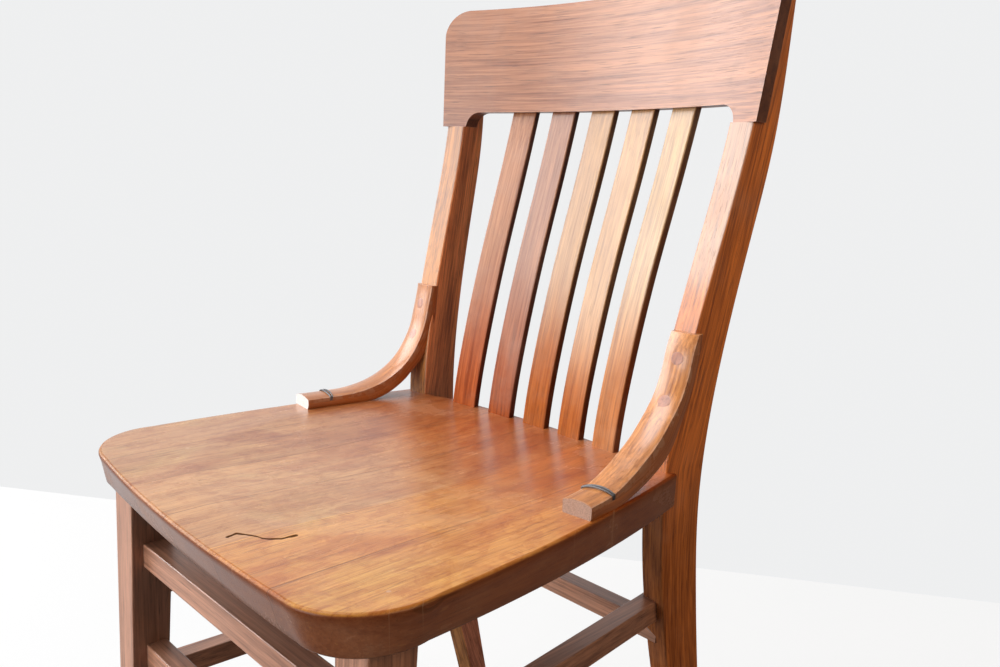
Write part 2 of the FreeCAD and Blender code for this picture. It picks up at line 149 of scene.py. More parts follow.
# ---- shader nodes --------------------------------------------------------------------------
class Graph:
    """A short way to write a material's nodes: each call adds a node and returns its output."""

    def __init__(self, name):
        self.material = bpy.data.materials.new(name)
        self.material.use_nodes = True
        self.nodes = self.material.node_tree.nodes
        self.links = self.material.node_tree.links
        self.nodes.clear()
        self.out = self.nodes.new("ShaderNodeOutputMaterial")
        self.shader = self.nodes.new("ShaderNodeBsdfPrincipled")
        self.links.new(self.shader.outputs["BSDF"], self.out.inputs["Surface"])

    def put(self, socket, value):
        """Link a socket to another one, or set its value."""
        if isinstance(value, bpy.types.NodeSocket):
            self.links.new(value, socket)
        elif isinstance(value, tuple) and len(value) == 3 and socket.type == "RGBA":
            socket.default_value = (*value, 1.0)
        else:
            socket.default_value = value

    def math(self, operation, first, second=0.0, clamp=False):
        node = self.nodes.new("ShaderNodeMath")
        node.operation = operation
        node.use_clamp = clamp
        self.put(node.inputs[0], first)
        self.put(node.inputs[1], second)
        return node.outputs[0]

    def vector(self, operation, first, second):
        node = self.nodes.new("ShaderNodeVectorMath")
        node.operation = operation
        self.put(node.inputs[0], first)
        self.put(node.inputs[1], second)
        return node.outputs["Value"] if operation == "DOT_PRODUCT" else node.outputs["Vector"]

    def noise(self, vector, detail=3.0, roughness=0.55, distortion=0.0):
        node = self.nodes.new("ShaderNodeTexNoise")
        node.inputs["Scale"].default_value = 1.0
        node.inputs["Detail"].default_value = detail
        node.inputs["Roughness"].default_value = roughness
        node.inputs["Distortion"].default_value = distortion
        self.put(node.inputs["Vector"], vector)
        return node.outputs["Fac"]

    def spots(self, coords, scale, detail=3.0, roughness=0.55, distortion=0.0):
        """Noise with features about 1 / scale metres across, for one scale or one per axis."""
        scales = scale if isinstance(scale, tuple) else (scale, scale, scale)
        stretched = self.vector("MULTIPLY", coords, scales)
        return self.noise(stretched, detail, roughness, distortion)

    def attribute(self, name):
        node = self.nodes.new("ShaderNodeAttribute")
        node.attribute_name = name
        return node

    def ramp(self, value, low, high):
        """0 below low, 1 above high, smooth between."""
        node = self.nodes.new("ShaderNodeMapRange")
        node.interpolation_type = "SMOOTHSTEP"
        self.put(node.inputs["Value"], value)
        node.inputs["From Min"].default_value = low
        node.inputs["From Max"].default_value = high
        return node.outputs["Result"]

    def mix(self, amount, first, second):
        node = self.nodes.new("ShaderNodeMix")
        node.data_type = "RGBA"
        self.put(node.inputs[0], amount)
        self.put(node.inputs[6], first)
        self.put(node.inputs[7], second)
        return node.outputs[2]

    def tint(self, amount, color, factors):
        """Multiply a colour by three factors, as far as amount says."""
        return self.mix(amount, color, self.vector("MULTIPLY", color, factors))

    def swing(self, value, weight):
        """A value around 0.5 turned into one around 0, times weight."""
        return self.math("MULTIPLY", self.math("SUBTRACT", value, 0.5), weight)

    def xyz(self, vector):
        node = self.nodes.new("ShaderNodeSeparateXYZ")
        self.put(node.inputs[0], vector)
        return node.outputs[0], node.outputs[1], node.outputs[2]

    def combine(self, x, y, z):
        node = self.nodes.new("ShaderNodeCombineXYZ")
        self.put(node.inputs[0], x)
        self.put(node.inputs[1], y)
        self.put(node.inputs[2], z)
        return node.outputs[0]


# ---- wood and metal ------------------------------------------------------------------------
def straightened(g, coords, bend):
    """Where x and y would be if the piece were not bent or leaning."""
    slope, curve, low_curve, x_curve, x_slope = bend
    x, y, z = g.xyz(coords)
    rise = g.math("SUBTRACT", z, SEAT_HEIGHT * MM)
    above = g.math("MAXIMUM", rise, 0.0)
    below = g.math("MINIMUM", rise, 0.0)
    set_back = g.math("ADD", g.math("MULTIPLY", above, slope),
                      g.math("MULTIPLY", g.math("MULTIPLY", above, above), curve))
    set_back = g.math("ADD", set_back,
                      g.math("MULTIPLY", g.math("MULTIPLY", below, below), low_curve))
    set_back = g.math("ADD", set_back, g.math("MULTIPLY", g.math("MULTIPLY", x, x), x_curve))
    return g.math("SUBTRACT", x, g.math("MULTIPLY", rise, x_slope)), g.math("SUBTRACT", y, set_back)


def grain_axes(g, coords, grain, bend):
    """Places along, across and through the piece, which its figure is drawn from."""
    x, y, z = g.xyz(coords)
    own_x, own_y = straightened(g, coords, bend)
    if grain == "X":
        return own_x, own_y, z
    if grain == "Y":
        return y, x, z
    if grain == "Z":
        return z, own_x, own_y
    return g.xyz(g.attribute("grain").outputs["Vector"])


def board_change(g, coords, seed):
    """Shift and tone that change from board to board, and a mask of the glue joints."""
    board = g.math("DIVIDE", g.xyz(coords)[0], BOARD_WIDTH * MM)
    random = g.nodes.new("ShaderNodeTexWhiteNoise")
    random.noise_dimensions = "1D"
    g.put(random.inputs["W"], g.math("ADD", g.math("FLOOR", board), seed))
    shift = g.math("MULTIPLY", random.outputs["Value"], 3.0)
    tone = g.swing(random.outputs["Value"], 0.22)
    part_way = g.math("FRACT", board)
    near = g.math("MINIMUM", part_way, g.math("SUBTRACT", 1.0, part_way))
    return shift, tone, g.ramp(near, 0.0085, 0.0025)


def grain_layers(g, along, across, depth):
    """The noise of each of the GRAIN_LAYERS, by name."""
    layers = {}
    for name, (run, cross, detail, roughness, distortion) in GRAIN_LAYERS.items():
        stretched = g.combine(g.math("MULTIPLY", along, run), g.math("MULTIPLY", across, cross),
                              g.math("MULTIPLY", depth, cross))
        layers[name] = g.noise(stretched, detail, roughness, distortion)
    return layers


def grain_color(g, layers, tones, weights, contrast, board_tone):
    """Light and dark wood, mixed by the figure, the streaks, the fibres and the clouds."""
    light, dark = tones
    figured, streaked, fibrous = (contrast * weight for weight in weights)
    lines = g.math("ADD", g.swing(layers["figure"], figured), g.swing(layers["streak"], streaked))
    level = g.math("ADD", lines, g.swing(layers["fibre"], fibrous))
    level = g.math("ADD", level, g.math("ADD", g.swing(layers["cloud"], 0.9), board_tone))
    return g.mix(g.math("ADD", level, 0.58, clamp=True), dark, light)


def painted_low_shade(g, coords, color, cloud, low_shade_tone):
    """Tint the lower part of a piece, a painted shade, where its polish has gone too: the colour
    and the polish.
    """
    if low_shade_tone is None:
        return color, 1.0
    tint, low, high = low_shade_tone
    wavy_height = g.math("ADD", g.xyz(coords)[2], g.swing(cloud, 0.16))
    amount = g.ramp(wavy_height, high, low)
    return g.tint(amount, color, tint), g.math("SUBTRACT", 1.0, g.math("MULTIPLY", amount, 0.85))


def painted_face_light(g, coords, normal, color, face_lighting):
    """Faces turned one way, painted paler or darker than the rest of the piece: painted light and
    shade, the veil a painted glare with wear.
    """
    z = g.xyz(coords)[2]
    for direction, tint, veil, lowest in face_lighting:
        facing = g.ramp(g.vector("DOT_PRODUCT", normal, direction), 0.75, 0.9)
        facing = g.math("MULTIPLY", facing, g.ramp(z, lowest - 0.02, lowest + 0.02))
        face_lit_color = g.mix(veil, g.vector("MULTIPLY", color, tint), GLARE_AND_WEAR_PALE)
        color = g.mix(facing, color, face_lit_color)
    return color


def pores_and_flecks(g, layers, color, tones, contrast):
    """Dark pores and small pale flecks: the colour and a mask of the pores."""
    light, dark = tones
    pores = g.math("MULTIPLY", g.ramp(layers["pore"], 0.58, 0.69), 0.50 * contrast)
    color = g.mix(pores, color, tuple(0.35 * c for c in dark))
    flecks = g.math("MULTIPLY", g.ramp(layers["fleck"], 0.66, 0.76), 0.18)
    return g.mix(flecks, color, light), pores


def patchy_wear(g, coords, color, faded, dark):
    """Pale patches where the varnish is thin, and dark grime: the colour and a mask of wear."""
    worn = g.ramp(g.spots(coords, 14.0, 5.0, 0.62), 0.44, 0.80)
    color = g.mix(g.math("MULTIPLY", worn, 0.30), color, faded)
    grime = g.math("MULTIPLY", g.ramp(g.spots(coords, 31.0, 4.0, 0.6), 0.60, 0.78), 0.22)
    return g.mix(grime, color, tuple(0.5 * c for c in dark)), worn


def rubbed_edges(g, coords, normal, rim_mark, seat):
    """Mask of edges rubbed pale, found by comparing the rounded and the true normal."""
    bevel = g.nodes.new("ShaderNodeBevel")
    bevel.samples = 4
    bevel.inputs["Radius"].default_value = 0.0016
    edge = g.ramp(g.vector("DOT_PRODUCT", bevel.outputs["Normal"], normal), 0.995, 0.86)
    rubbed = g.ramp(g.spots(coords, 90.0, 3.0, 0.6), 0.42, 0.6)
    edge = g.math("MULTIPLY", edge, g.math("ADD", g.math("MULTIPLY", rubbed, 0.5), 0.15))
    if seat:
        return g.math("MULTIPLY", edge, 0.5)
    return g.math("MAXIMUM", edge, g.math("MULTIPLY", rim_mark, g.math("ADD", rubbed, 0.25)))


def bare_end_and_glare(g, coords, normal, color, end_tone_and_glare):
    """The bare sawn front end of an arm, low down and facing forward, in the tone given, which on
    the left arm is also a painted reflection.
    """
    forward = g.ramp(g.vector("DOT_PRODUCT", normal, FORWARD), 0.88, 0.95)
    low = g.ramp(g.xyz(coords)[2], 0.4605, 0.4590)
    speckle = g.spots(coords, 900.0, 2.0, 0.6)
    bare = g.mix(g.ramp(speckle, 0.35, 0.7), end_tone_and_glare, tuple(0.7 * c for c in end_tone_and_glare))
    return g.mix(g.math("MULTIPLY", forward, low), color, bare)


def wood(name, tones, grain, seed, boards=False, gloss=0.34, end_tone_and_glare=None, contrast=1.0,
         coat=0.55, low_shade_tone=None, face_lighting=(), bend=STRAIGHT):
    """Worn varnished oak.

    tones are the light and the dark tone of the grain. grain is the axis it runs along ("X",
    "Y" or "Z", or "own" for a mesh that carries its own grain), and seed moves the figure so
    that no two pieces are alike. With boards the figure changes from board to board and the
    glue joints show. end_tone_and_glare is the tone of a bare sawn end facing forward, which may
    also hold a painted reflection. low_shade_tone is (tint, low, high): the tint, a painted shade,
    comes in below these heights, where the polish has gone too. face_lighting holds (direction,
    tint, veil, lowest) for faces painted lighter or darker, as painted light and shade: veil is how
    far they are painted pale, as glare and wear, and lowest the height from which they are.
    bend is how the piece leans.
    """
    light, dark = tones
    faded = tuple(min(1.0, 0.62 * c + 0.12) for c in light)
    g = Graph(name)
    coords = g.nodes.new("ShaderNodeTexCoord").outputs["Object"]
    normal = g.nodes.new("ShaderNodeNewGeometry").outputs["Normal"]
    along, across, depth = grain_axes(g, coords, grain, bend)
    shift, board_tone = seed * 1.37, 0.0
    if boards:
        shift, board_tone, joint = board_change(g, coords, seed)
    layers = grain_layers(g, g.math("ADD", along, shift), g.math("ADD", across, shift), depth)
    weights = SEAT_WEIGHTS if boards else FRAME_WEIGHTS
    color = grain_color(g, layers, tones, weights, contrast, board_tone)
    if boards:
        color = seat_zones(g, coords, normal, color, layers["cloud"])
    color, polish = painted_low_shade(g, coords, color, layers["cloud"], low_shade_tone)
    color = painted_face_light(g, coords, normal, color, face_lighting)
    color, pores = pores_and_flecks(g, layers, color, tones, contrast)
    color, worn = patchy_wear(g, coords, color, faded, dark)

    rim_mark = g.attribute("rim").outputs["Fac"]
    if boards:
        # The rounded rim of the seat is drawn darker and duller.
        color = g.tint(g.math("MULTIPLY", rim_mark, 0.6), color, (0.62, 0.50, 0.45))
        polish = g.math("SUBTRACT", 1.0, g.math("MULTIPLY", rim_mark, 0.8))
    edge = rubbed_edges(g, coords, normal, rim_mark, boards)
    color = g.mix(edge, color, faded)

    height = g.math("ADD", g.math("MULTIPLY", layers["fibre"], 0.35),
                    g.math("MULTIPLY", pores, -1.2))
    height = g.math("ADD", height, g.math("MULTIPLY", layers["figure"], 0.3))
    if boards:
        color = g.mix(g.math("MULTIPLY", joint, 0.55), color, tuple(0.3 * c for c in dark))
        height = g.math("SUBTRACT", height, g.math("MULTIPLY", joint, 1.5))
        color, height, crack = seat_marks(g, coords, color, height, faded)
        polish = g.math("MULTIPLY", polish, g.math("SUBTRACT", 1.0, crack))
    if end_tone_and_glare is not None:
        color = bare_end_and_glare(g, coords, normal, color, end_tone_and_glare)
    rough = g.math("ADD", g.math("MULTIPLY", worn, 0.16), g.math("MULTIPLY", layers["fibre"], 0.10))
    rough = g.math("ADD", rough, g.math("ADD", g.math("MULTIPLY", edge, 0.15), gloss))
    varnish(g, color, height, rough, polish, coat)
    return g.material


def varnish(g, color, height, rough, polish, coat):
    """Give the shader its colour and relief, and a clear coat where the polish is left."""
    bump = g.nodes.new("ShaderNodeBump")
    bump.inputs["Strength"].default_value = 0.35
    bump.inputs["Distance"].default_value = 0.0003
    g.put(bump.inputs["Height"], height)
    g.put(g.shader.inputs["Base Color"], color)
    g.put(g.shader.inputs["Roughness"], rough)
    g.put(g.shader.inputs["Normal"], bump.outputs["Normal"])
    g.put(g.shader.inputs["Coat Weight"], g.math("MULTIPLY", polish, coat))
    g.put(g.shader.inputs["Specular IOR Level"], g.math("MULTIPLY", polish, 0.5))
    g.put(g.shader.inputs["Coat Roughness"], g.math("SUBTRACT", rough, 0.10))


def seat_zones(g, coords, normal, color, cloud):
    """Redder boards on the left, amber ones on the right, and the sides darkened as painted shade.
    """
    x, y, _ = g.xyz(coords)
    plain = color
    right = g.ramp(g.math("ADD", x, g.math("MULTIPLY", cloud, 0.004)), 0.0735, 0.0785)
    amber = g.vector("MULTIPLY", color, (1.08, 1.10, 0.88))
    pink = g.vector("MULTIPLY", color, (0.88, 0.98, 1.22))
    color = g.mix(right, pink, amber)
    # Honey-coloured patches towards the front, red-brown ones everywhere.
    honey = g.ramp(g.spots(coords, (11.0, 7.0, 7.0), 3.0, 0.55, 0.8), 0.46, 0.62)
    honey = g.math("MULTIPLY", honey, g.ramp(y, -0.08, -0.2))
    color = g.tint(g.math("MULTIPLY", honey, 0.7), color, (1.10, 1.32, 1.20))
    patches = g.ramp(g.spots(coords, (16.0, 7.0, 7.0), 4.0, 0.6, 0.8), 0.44, 0.64)
    color = g.tint(g.math("MULTIPLY", patches, 0.85), color, (0.76, 0.55, 0.42))
    mottle = g.ramp(g.spots(coords, (75.0, 45.0, 45.0), 5.0, 0.7, 1.2), 0.45, 0.64)
    color = g.tint(g.math("MULTIPLY", mottle, 0.75), color, (0.78, 0.62, 0.50))
    color = g.tint(g.ramp(y, -0.10, 0.08), color, (0.80, 0.50, 0.34))
    # The steep sides of the seat are darkened: painted shade.
    side = g.ramp(g.xyz(normal)[2], 0.70, 0.30)
    return g.mix(side, color, g.vector("MULTIPLY", plain, (0.46, 0.34, 0.40)))


def segment_distance(g, coords, start, end):
    """Distance in the shader from a point to the straight stretch between start and end."""
    run = end - start
    from_start = g.vector("SUBTRACT", coords, tuple(start))
    ahead = g.vector("DOT_PRODUCT", from_start, tuple(run / run.length_squared))
    share = g.math("MINIMUM", g.math("MAXIMUM", ahead, 0.0), 1.0)
    nearest = g.vector("MULTIPLY", g.combine(share, share, share), tuple(run))
    off = g.vector("SUBTRACT", from_start, nearest)
    return g.math("SQRT", g.vector("DOT_PRODUCT", off, off))


def seat_marks(g, coords, color, height, faded):
    """The crack near the front edge, a few chips and fine scratches on the seat."""
    x, y, _ = g.xyz(coords)
    wobble = g.swing(g.spots(coords, 120.0, 2.0, 0.5), 0.012)
    # The crack wanders back and to the right from the front edge.
    away = None
    for start, end in zip(CRACK, CRACK[1:]):
        reach = segment_distance(g, coords, place(*start, 0.0), place(*end, 0.0))
        away = reach if away is None else g.math("MINIMUM", away, reach)
    away = g.math("ADD", away, g.math("MULTIPLY", wobble, 0.22))
    crack = g.ramp(away, 0.0019, 0.0010)
    color = g.mix(g.math("MULTIPLY", crack, 0.9), color, (0.035, 0.014, 0.008))
    height = g.math("SUBTRACT", height, g.math("MULTIPLY", crack, 3.0))
    for chip_x, chip_y, radius in CHIPS:
        from_chip = g.vector("SUBTRACT", coords, tuple(place(chip_x, chip_y, 0.0)))
        distance = g.math("SQRT", g.vector("DOT_PRODUCT", from_chip, from_chip))
        distance = g.math("ADD", distance, g.math("MULTIPLY", wobble, 0.25))
        chip = g.ramp(distance, radius * MM, 0.5 * radius * MM)
        color = g.mix(g.math("MULTIPLY", chip, 0.7), color, faded)
    # Fine scratches: thin streaks that cross the grain at a slant.
    slant = g.math("ADD", g.math("MULTIPLY", x, 310.0), g.math("MULTIPLY", y, 240.0))
    other = g.math("SUBTRACT", g.math("MULTIPLY", x, 9.0), g.math("MULTIPLY", y, 12.0))
    streak = g.noise(g.combine(slant, other, 3.0), 2.0, 0.5)
    color = g.mix(g.math("MULTIPLY", g.ramp(streak, 0.69, 0.75), 0.22), color, faded)
    return color, height, crack


def metal(name, color, roughness):
    """Dull, spotted metal."""
    g = Graph(name)
    coords = g.nodes.new("ShaderNodeTexCoord").outputs["Object"]
    spots = g.spots(coords, 600.0, 4.0, 0.6)
    g.put(g.shader.inputs["Base Color"], g.mix(spots, tuple(0.45 * c for c in color), color))
    g.put(g.shader.inputs["Roughness"], g.math("ADD", g.math("MULTIPLY", spots, 0.3), roughness))
    g.shader.inputs["Metallic"].default_value = 0.85
    return g.material


# ---- mesh helpers --------------------------------------------------------------------------
def piece(name, vertices, faces, material, nodes, rim=None, grain=None):
    """Make a smooth mesh that stands for CAD nodes and rides on the chair's one body.

    rim marks edges from 0 to 1 (the seat's rounded rim, drawn darker, and the arms' rubbed
    edges); grain gives each vertex its place along, across and through a bent piece, in metres.
    """
    mesh = bpy.data.meshes.new(name)
    mesh.from_pydata([tuple(v) for v in vertices], [], faces)
    mesh.update()
    mesh.shade_smooth()
    mesh.set_sharp_from_angle(angle=math.radians(38))
    if rim is not None:
        layer = mesh.attributes.new("rim", "FLOAT", "POINT")
        layer.data.foreach_set("value", rim)
    if grain is not None:
        layer = mesh.attributes.new("grain", "FLOAT_VECTOR", "POINT")
        layer.data.foreach_set("vector", [value for spot in grain for value in spot])
    obj = bpy.data.objects.new(name, mesh)
    bpy.context.scene.collection.objects.link(obj)
    mesh.materials.append(material)
    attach(obj, "root")
    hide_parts(*nodes)


def dress(node, material, bevel=0.0):
    """A copy of a CAD part with soft shading, in place of the part itself."""
    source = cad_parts[node]
    obj = source.copy()
    obj.data = source.data.copy()
    obj.name = "wood_" + node
    bpy.context.scene.collection.objects.link(obj)
    obj.data.materials.clear()
    obj.data.materials.append(material)
    if bevel > 0.0:
        soften = obj.modifiers.new("soften", "BEVEL")
        soften.width = bevel
        soften.segments = 3
        soften.limit_method = "ANGLE"
        soften.angle_limit = math.radians(50)
    obj.data.shade_smooth()
    obj.data.set_sharp_from_angle(angle=math.radians(40))
    weights = obj.modifiers.new("flat_faces", "WEIGHTED_NORMAL")
    weights.keep_sharp = True
    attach(obj, "root")
    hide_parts(node)


def rings_to_faces(ring_count, points):
    """Quads between successive closed rings of equal length."""
    faces = []
    for ring in range(ring_count - 1):
        for i in range(points):
            a = ring * points + i
            b = ring * points + (i + 1) % points
            faces.append((a, b, b + points, a + points))
    return faces


def arc_points(start, middle, end, count):
    """Points on the circle through three plan points, without the last one."""
    ax, ay = start
    bx, by = middle
    cx, cy = end
    d = 2.0 * (ax * (by - cy) + bx * (cy - ay) + cx * (ay - by))
    sa, sb, sc = ax * ax + ay * ay, bx * bx + by * by, cx * cx + cy * cy
    ux = (sa * (by - cy) + sb * (cy - ay) + sc * (ay - by)) / d
    uy = (sa * (cx - bx) + sb * (ax - cx) + sc * (bx - ax)) / d
    radius = math.hypot(ax - ux, ay - uy)
    first = math.atan2(ay - uy, ax - ux)
    sweep = math.atan2(cy - uy, cx - ux) - first
    through = (math.atan2(by - uy, bx - ux) - first) % (2 * math.pi)
    sweep = sweep % (2 * math.pi)
    if through > sweep:
        sweep -= 2 * math.pi
    angles = [first + sweep * i / count for i in range(count)]
    return [(ux + radius * math.cos(a), uy + radius * math.sin(a)) for a in angles]


def smooth_path(points, count):
    """Evenly spaced points on a smooth curve through the given ones."""
    knots = [Vector(p) for p in points]
    knots = [2 * knots[0] - knots[1]] + knots + [2 * knots[-1] - knots[-2]]
    dense = []
    for i in range(1, len(knots) - 2):
        p0, p1, p2, p3 = knots[i - 1:i + 3]
        for k in range(24):
            t = k / 24.0
            bend = (2 * p0 - 5 * p1 + 4 * p2 - p3) * t * t + (3 * p1 - p0 - 3 * p2 + p3) * t ** 3
            dense.append(0.5 * (2 * p1 + (p2 - p0) * t + bend))
    dense.append(knots[-2])
    lengths = [0.0]
    for a, b in zip(dense, dense[1:]):
        lengths.append(lengths[-1] + (b - a).length)
    out = []
    j = 0
    for i in range(count):
        want = lengths[-1] * i / (count - 1)
        while j < len(dense) - 2 and lengths[j + 1] < want:
            j += 1
        span = max(1e-9, lengths[j + 1] - lengths[j])
        out.append(dense[j].lerp(dense[j + 1], min(1.0, (want - lengths[j]) / span)))
    return out


# ---- seat ----------------------------------------------------------------------------------
def seat_outline(shoulder, corner, hip, flank, front, rear):
    """Plan outline of the seat, counter-clockwise, as in part.py but with one corner forward."""
    inner, rear_y = REAR_CORNER
    half = arc_points(shoulder, corner, hip, 26)
    half += arc_points(hip, flank, (rear, rear_y), 60)
    half += [(rear + (inner - rear) * i / 8.0, rear_y) for i in range(8)]
    front_edge = arc_points((-shoulder[0], shoulder[1]), (0.0, front), shoulder, 60)
    rear_edge = arc_points((inner, rear_y), (0.0, REAR_BULGE), (-inner, rear_y), 60)
    left = [(-px, py) for px, py in reversed(half[1:])]
    points = front_edge + half + rear_edge + [(-inner, rear_y)] + left
    # The real front edge is not square: it comes further forward on the right.
    skewed = []
    for px, py in points:
        near_front = min(1.0, max(0.0, (-py - 300.0) / 80.0))
        skewed.append((px, py - SEAT_SKEW * near_front * px / 190.0))
    return skewed


def inward(outline):
    """Unit vectors pointing into the outline at each of its points."""
    out = []
    count = len(outline)
    for i in range(count):
        ax, ay = outline[i - 1]
        bx, by = outline[(i + 1) % count]
        length = math.hypot(bx - ax, by - ay)
        out.append((-(by - ay) / length, (bx - ax) / length))
    return out


def saddle(x, y):
    """Depth of the dished seat, with a low ridge between the thighs at the front."""
    q = (x / SCOOP_HALF_X) ** 2 + ((y - SCOOP_CENTRE_Y) / SCOOP_HALF_Y) ** 2
    dip = -SCOOP_DEPTH * max(0.0, 1.0 - q) ** 1.1
    ridge = 1.8 * math.exp(-(x / 42.0) ** 2) * math.exp(-((y + 300.0) / 70.0) ** 2)
    wave = 0.25 * noise.noise(Vector((x * 0.02, y * 0.012, 4.0)))
    edge = min(1.0, max(0.0, 1.3 - q))
    return dip + ridge * edge + wave


def dished_rings(outline, rings):
    """Rings over the dished top, from near its middle out to where the rim starts to round."""
    middle_x, middle_y = SEAT_MIDDLE
    vertices = []
    for step in range(1, rings + 1):
        scale = (step / rings) ** 0.8
        for (px, py), (nx, ny) in zip(outline, inward(outline)):
            x = middle_x + (px + nx * SEAT_ROUND_TOP - middle_x) * scale
            y = middle_y + (py + ny * SEAT_ROUND_TOP - middle_y) * scale
            vertices.append(place(x, y, saddle(x, y)))
    return vertices


def rounded_rings(outline, rings):
    """Rings over the rounded upper rim, with small nicks in it."""
    vertices = []
    for step in range(1, rings + 1):
        angle = math.radians(90.0 * step / rings)
        back = SEAT_ROUND_TOP * (1.0 - math.sin(angle))
        drop = SEAT_ROUND_TOP * (1.0 - math.cos(angle))
        for (px, py), (nx, ny) in zip(outline, inward(outline)):
            nick = max(0.0, 0.35 * noise.noise(Vector((px * 0.11, py * 0.11, 1.5))))
            x = px + nx * (back + nick)
            y = py + ny * (back + nick)
            vertices.append(place(x, y, saddle(px, py) - drop))
    return vertices


def side_rings(top, low):
    """Rings down the side of the seat, which draws in to the low outline, and under its edge."""
    vertices = []
    for part in (0.25, 0.5, 0.75, 1.0):
        depth = SEAT_ROUND_TOP + (SEAT_THICK - SEAT_ROUND_TOP - SEAT_ROUND_LOW) * part
        share = depth / SEAT_THICK
        for (px, py), (qx, qy) in zip(top, low):
            vertices.append(place(px + (qx - px) * share, py + (qy - py) * share, -depth))
    for degrees in (45.0, 90.0):
        angle = math.radians(degrees)
        back = SEAT_ROUND_LOW * (1.0 - math.cos(angle))
        depth = SEAT_THICK - SEAT_ROUND_LOW + SEAT_ROUND_LOW * math.sin(angle)
        for (px, py), (nx, ny) in zip(low, inward(low)):
            vertices.append(place(px + nx * back, py + ny * back, -depth))
    return vertices


def build_seat(material):
    """The whole seat as one closed mesh, in rings from the middle of the top to the underside."""
    top = seat_outline(shoulder=(165, -382), corner=(212, -360), hip=(228, -305),
                       flank=(218.5, -160), front=-390, rear=SEAT_REAR_HALF)
    low = seat_outline(shoulder=(170, -373), corner=(206, -360), hip=(223, -312),
                       flank=(217, -160), front=-378, rear=SEAT_REAR_HALF - 0.5)
    count = len(top)
    vertices = dished_rings(top, 46)
    rim = [0.0] * len(vertices)
    vertices += rounded_rings(top, 6)
    rim += [1.0] * (len(vertices) - len(rim))
    vertices += side_rings(top, low)
    rings = len(vertices) // count
    top_centre = len(vertices)
    low_centre = top_centre + 1
    vertices.append(place(*SEAT_MIDDLE, saddle(*SEAT_MIDDLE)))
    vertices.append(place(*SEAT_MIDDLE, -SEAT_THICK))
    rim += [0.0] * (len(vertices) - len(rim))
    faces = rings_to_faces(rings, count)
    last = (rings - 1) * count
    for i in range(count):
        j = (i + 1) % count
        faces.append((j, i, top_centre))
        faces.append((last + i, last + j, low_centre))
    faces = [tuple(reversed(f)) for f in faces]
    boards = ["seat_board_%d" % n for n in range(1, 7)]
    piece("seat", vertices, faces, material, boards, rim)


# ---- hip brackets --------------------------------------------------------------------------
def flat_path(points):
    """A smooth path through (ahead, height) points."""
    return smooth_path([(ahead, z, 0.0) for ahead, z in points], 90)


ARM_TOP = {side: flat_path(points) for side, points in ARM_TOP_POINTS.items()}
ARM_UNDER = {side: flat_path(points) for side, points in ARM_UNDER_POINTS.items()}


def arm_point(side, ahead, across, z):
    """A point of a bracket: across is 0 at its outer face and its width at the inner one."""
    turn = Matrix.Rotation(ARM_TOE_OUT[side], 3, "Z")
    local = turn @ Vector((-across, -ahead, 0.0)) + Vector((ARM_BASE[side], ARM_START, z))
    return place(side * local.x, local.y, local.z)


def crown(across, width):
    """How far the top face falls away from its middle line."""
    part = abs(2.0 * across / width - 1.0)
    return ARM_CROWN * part ** 2.3


def build_bracket(side, material, node):
    """A bent arm with flat sides, a crowned top face and a sawn front end."""
    steps = 14
    width = ARM_WIDTH[side]
    # Each corner of the section: across, whether it is on the crowned face, and its height.
    section = [(1.0, False, 0.0), (0.2, False, 0.08), (0.0, False, 0.5)]
    section += [(width * i / steps, True, 1.0) for i in range(steps + 1)]
    section += [(width, False, 0.5), (width - 0.2, False, 0.08), (width - 1.0, False, 0.0)]
    count = len(section)
    vertices = []
    rim = []
    grain = []
    length = 0.0
    rows = len(ARM_TOP[side])
    for row, (top, under) in enumerate(zip(ARM_TOP[side], ARM_UNDER[side])):
        lift = top - under
        thick = lift.length
        lift = lift / thick
        if row > 0:
            length += (top - ARM_TOP[side][row - 1]).length
        for across, crowned, level in section:
            drop = crown(across, width) if crowned else 0.0
            reach = thick * level - drop
            if not crowned and level == 0.5:
                reach = (thick - ARM_CROWN) * 0.5
            spot = under + lift * reach
            ahead = spot.x
            if row == 0:
                torn = 1.1 if side < 0 else 0.4
                rough = noise.noise(Vector((across * 0.5, spot.y * 0.5, side * 5.0)))
                ahead += torn * rough - 0.5
            vertices.append(arm_point(side, ahead, across, spot.y))
            grain.append((length * MM, across * MM, reach * MM))
            near_corner = crowned and (across < 0.1 or across > width - 0.1)
            rim.append(0.7 if near_corner or row == 0 else 0.0)
    faces = rings_to_faces(rows, count)
    faces.append(tuple(reversed(range(count))))
    faces.append(tuple(range((rows - 1) * count, rows * count)))
    if side > 0:
        faces = [tuple(reversed(f)) for f in faces]
    piece(node + "_arm", vertices, faces, material, [node], rim, grain)


def arm_top_at(side, length):
    """Point and direction on the middle line of the top face, length mm back from the end."""
    done = 0.0
    for a, b in zip(ARM_TOP[side], ARM_TOP[side][1:]):
        step = (b - a).length
        if done + step >= length:
            break
        done += step
    return a.lerp(b, (length - done) / step), (b - a).normalized()


def length_to_height(side, height):
    """How far back along the top face the arm has risen to this height."""
    done = 0.0
    for a, b in zip(ARM_TOP[side], ARM_TOP[side][1:]):
        if b.y >= height and b.y > a.y:
            return done + (b - a).length * (height - a.y) / (b.y - a.y)
        done += (b - a).length
    return done


def arm_height(side, ahead):
    """Height of the middle of the top face at this distance in front of the post."""
    nearest = min(ARM_TOP[side], key=lambda spot: abs(spot.x - ahead))
    return nearest.y


